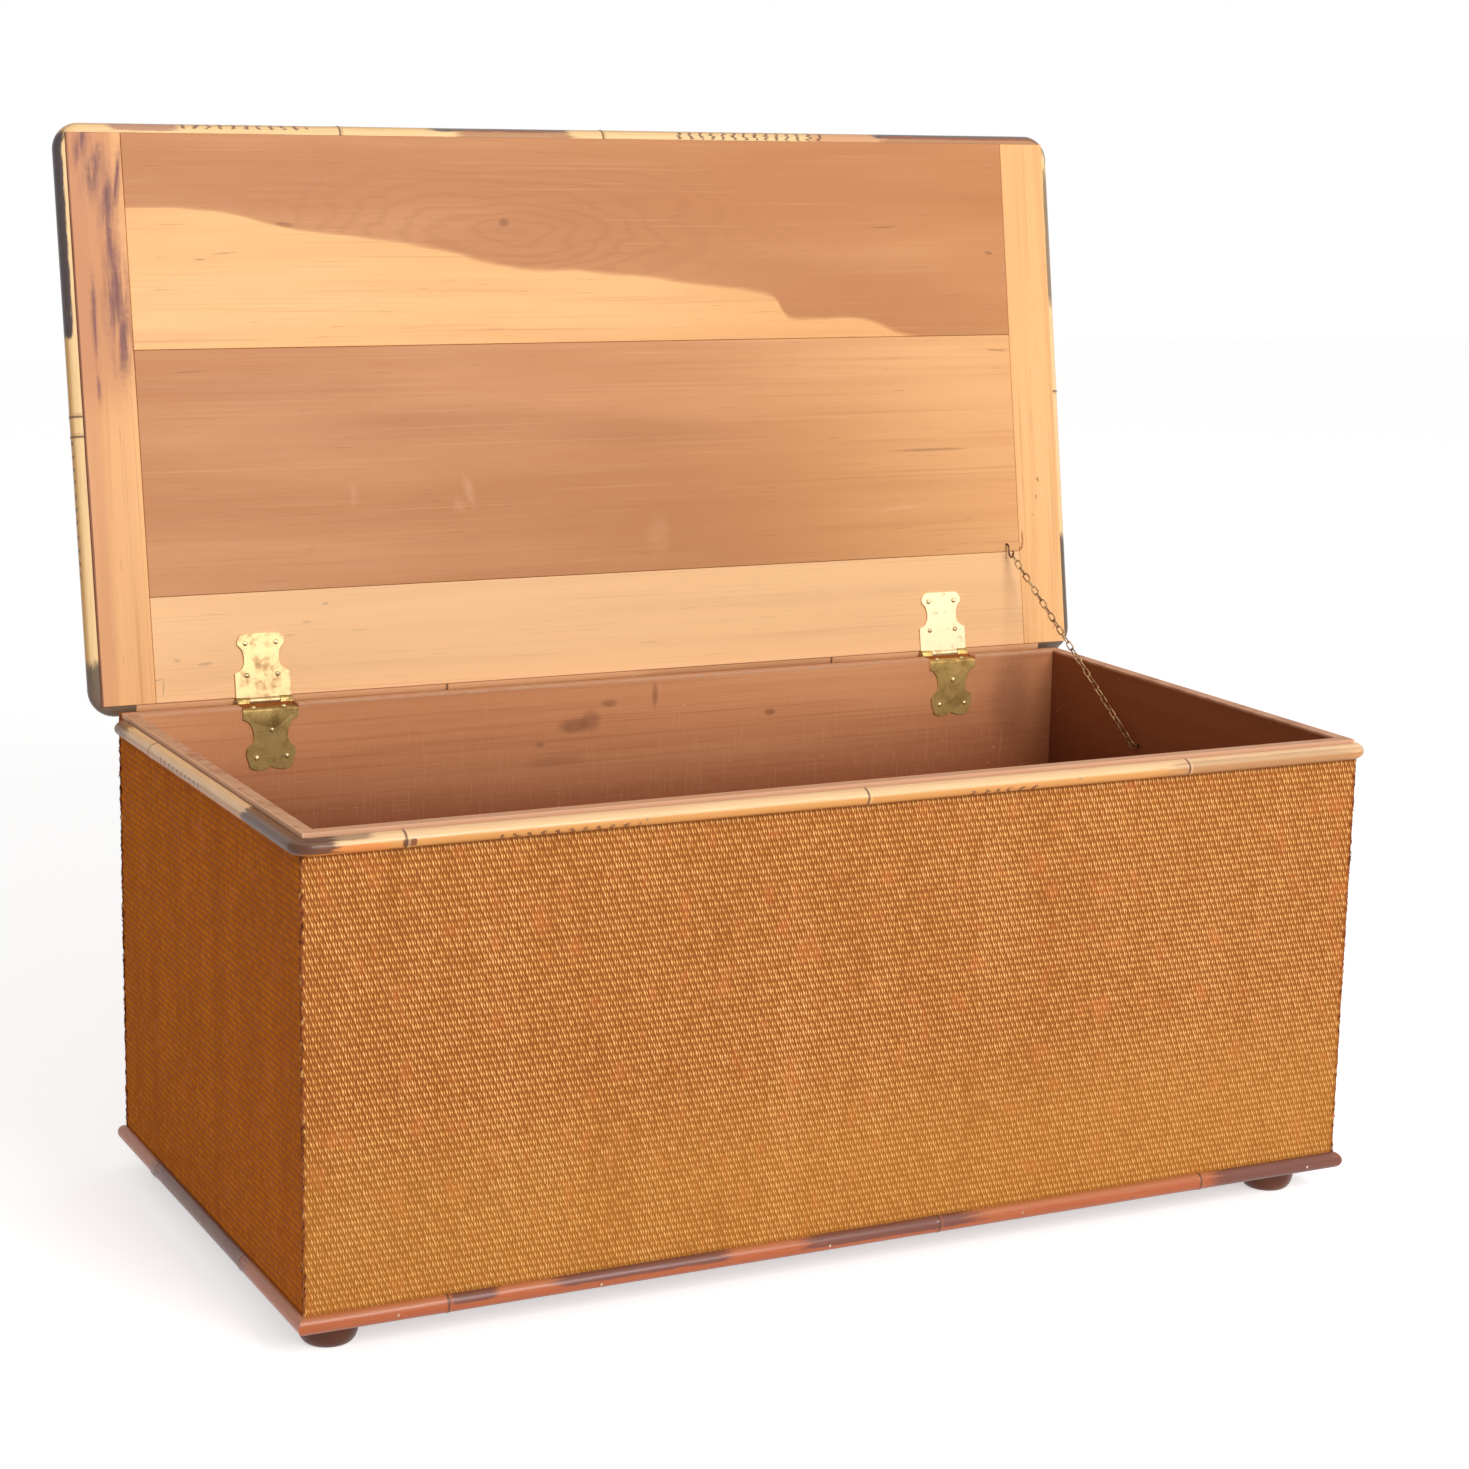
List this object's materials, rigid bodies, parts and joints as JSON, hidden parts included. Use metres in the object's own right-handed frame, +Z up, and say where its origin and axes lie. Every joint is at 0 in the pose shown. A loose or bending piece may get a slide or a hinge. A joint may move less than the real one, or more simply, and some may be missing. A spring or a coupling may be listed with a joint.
{
  "type": "blanket chest",
  "caption": "Low boarded chest on bun feet, woven matting edged in split cane, with a hinged lid open past upright on a stay chain.",
  "frame": {"origin": "on the floor, under the middle of the chest as it stands with its lid open", "axes": "+X along the chest to the right, +Y to the back and the hinges, +Z up; the front faces -Y"},
  "size_m": [1.1102, 0.6682, 1.0105],
  "materials": {
    "stained_board": "thin brown stain, worn at the top edges",
    "lid_board": "bare softwood under a clear varnish",
    "matting": "woven grass, matt",
    "pale_cane": "split cane, varnished",
    "dark_cane": "split cane, stained brown and varnished",
    "turned_foot": "turned, dark stain, polished",
    "bright_brass": "lacquered, bright",
    "aged_brass": "dulled brown",
    "chain_steel": "brassed steel, tarnished"
  },
  "bodies": {
    "case": {"front_board": "stained_board", "back_board": "stained_board", "left_end_board": "stained_board", "right_end_board": "stained_board", "bottom_board": "stained_board", "front_matting": "matting", "back_matting": "matting", "left_matting": "matting", "right_matting": "matting", "top_cane": "pale_cane", "front_bottom_cane": "dark_cane", "back_bottom_cane": "dark_cane", "left_bottom_cane": "dark_cane", "right_bottom_cane": "dark_cane", "front_left_foot": "turned_foot", "front_right_foot": "turned_foot", "back_left_foot": "turned_foot", "back_right_foot": "turned_foot", "left_hinge_box_leaf": "aged_brass", "left_hinge_pin": "aged_brass", "left_hinge_plate_screw_1": "bright_brass", "left_hinge_plate_screw_2": "bright_brass", "left_hinge_plate_screw_3": "bright_brass", "left_hinge_flange_screw_1": "bright_brass", "left_hinge_flange_screw_2": "bright_brass", "right_hinge_box_leaf": "aged_brass", "right_hinge_pin": "aged_brass", "right_hinge_plate_screw_1": "bright_brass", "right_hinge_plate_screw_2": "bright_brass", "right_hinge_plate_screw_3": "bright_brass", "right_hinge_flange_screw_1": "bright_brass", "right_hinge_flange_screw_2": "bright_brass", "wall_eye": "chain_steel"},
    "lid": {"lid_rear_board": "lid_board", "lid_middle_board": "lid_board", "lid_front_board": "lid_board", "lid_left_clamp_board": "lid_board", "lid_right_clamp_board": "lid_board", "lid_matting": "matting", "lid_cane": "pale_cane", "lid_rear_cane": "pale_cane", "left_hinge_lid_leaf": "bright_brass", "left_hinge_lid_screw_1": "bright_brass", "left_hinge_lid_screw_2": "bright_brass", "left_hinge_lid_screw_3": "bright_brass", "left_hinge_lid_screw_4": "bright_brass", "right_hinge_lid_leaf": "bright_brass", "right_hinge_lid_screw_1": "bright_brass", "right_hinge_lid_screw_2": "bright_brass", "right_hinge_lid_screw_3": "bright_brass", "right_hinge_lid_screw_4": "bright_brass", "lid_hook": "chain_steel"},
    "upper_chain": {"chain_upper": "chain_steel"},
    "lower_chain": {"chain_lower": "chain_steel"}
  },
  "joints": [
    {"name": "lid_hinge", "type": "hinge", "parent": "case", "child": "lid", "pos_m": [0, 0.21718, 0.4582], "axis": [1, 0, 0], "range_deg": [0, 99.9]},
    {"name": "upper_chain_swing", "type": "hinge", "parent": "lid", "child": "upper_chain", "pos_m": [0.474, 0.22725, 0.5622], "axis": [1, 0, 0], "range_deg": [-20, 0]},
    {"name": "lower_chain_swing", "type": "hinge", "parent": "case", "child": "lower_chain", "pos_m": [0.5078, 0.02698, 0.3857], "axis": [1, 0, 0], "range_deg": [-62, 0]}
  ],
  "couplings": [
    {"joint": "upper_chain_swing", "follows": "lid_hinge", "ratio": -0.2},
    {"joint": "lower_chain_swing", "follows": "lid_hinge", "ratio": -0.62}
  ]
}
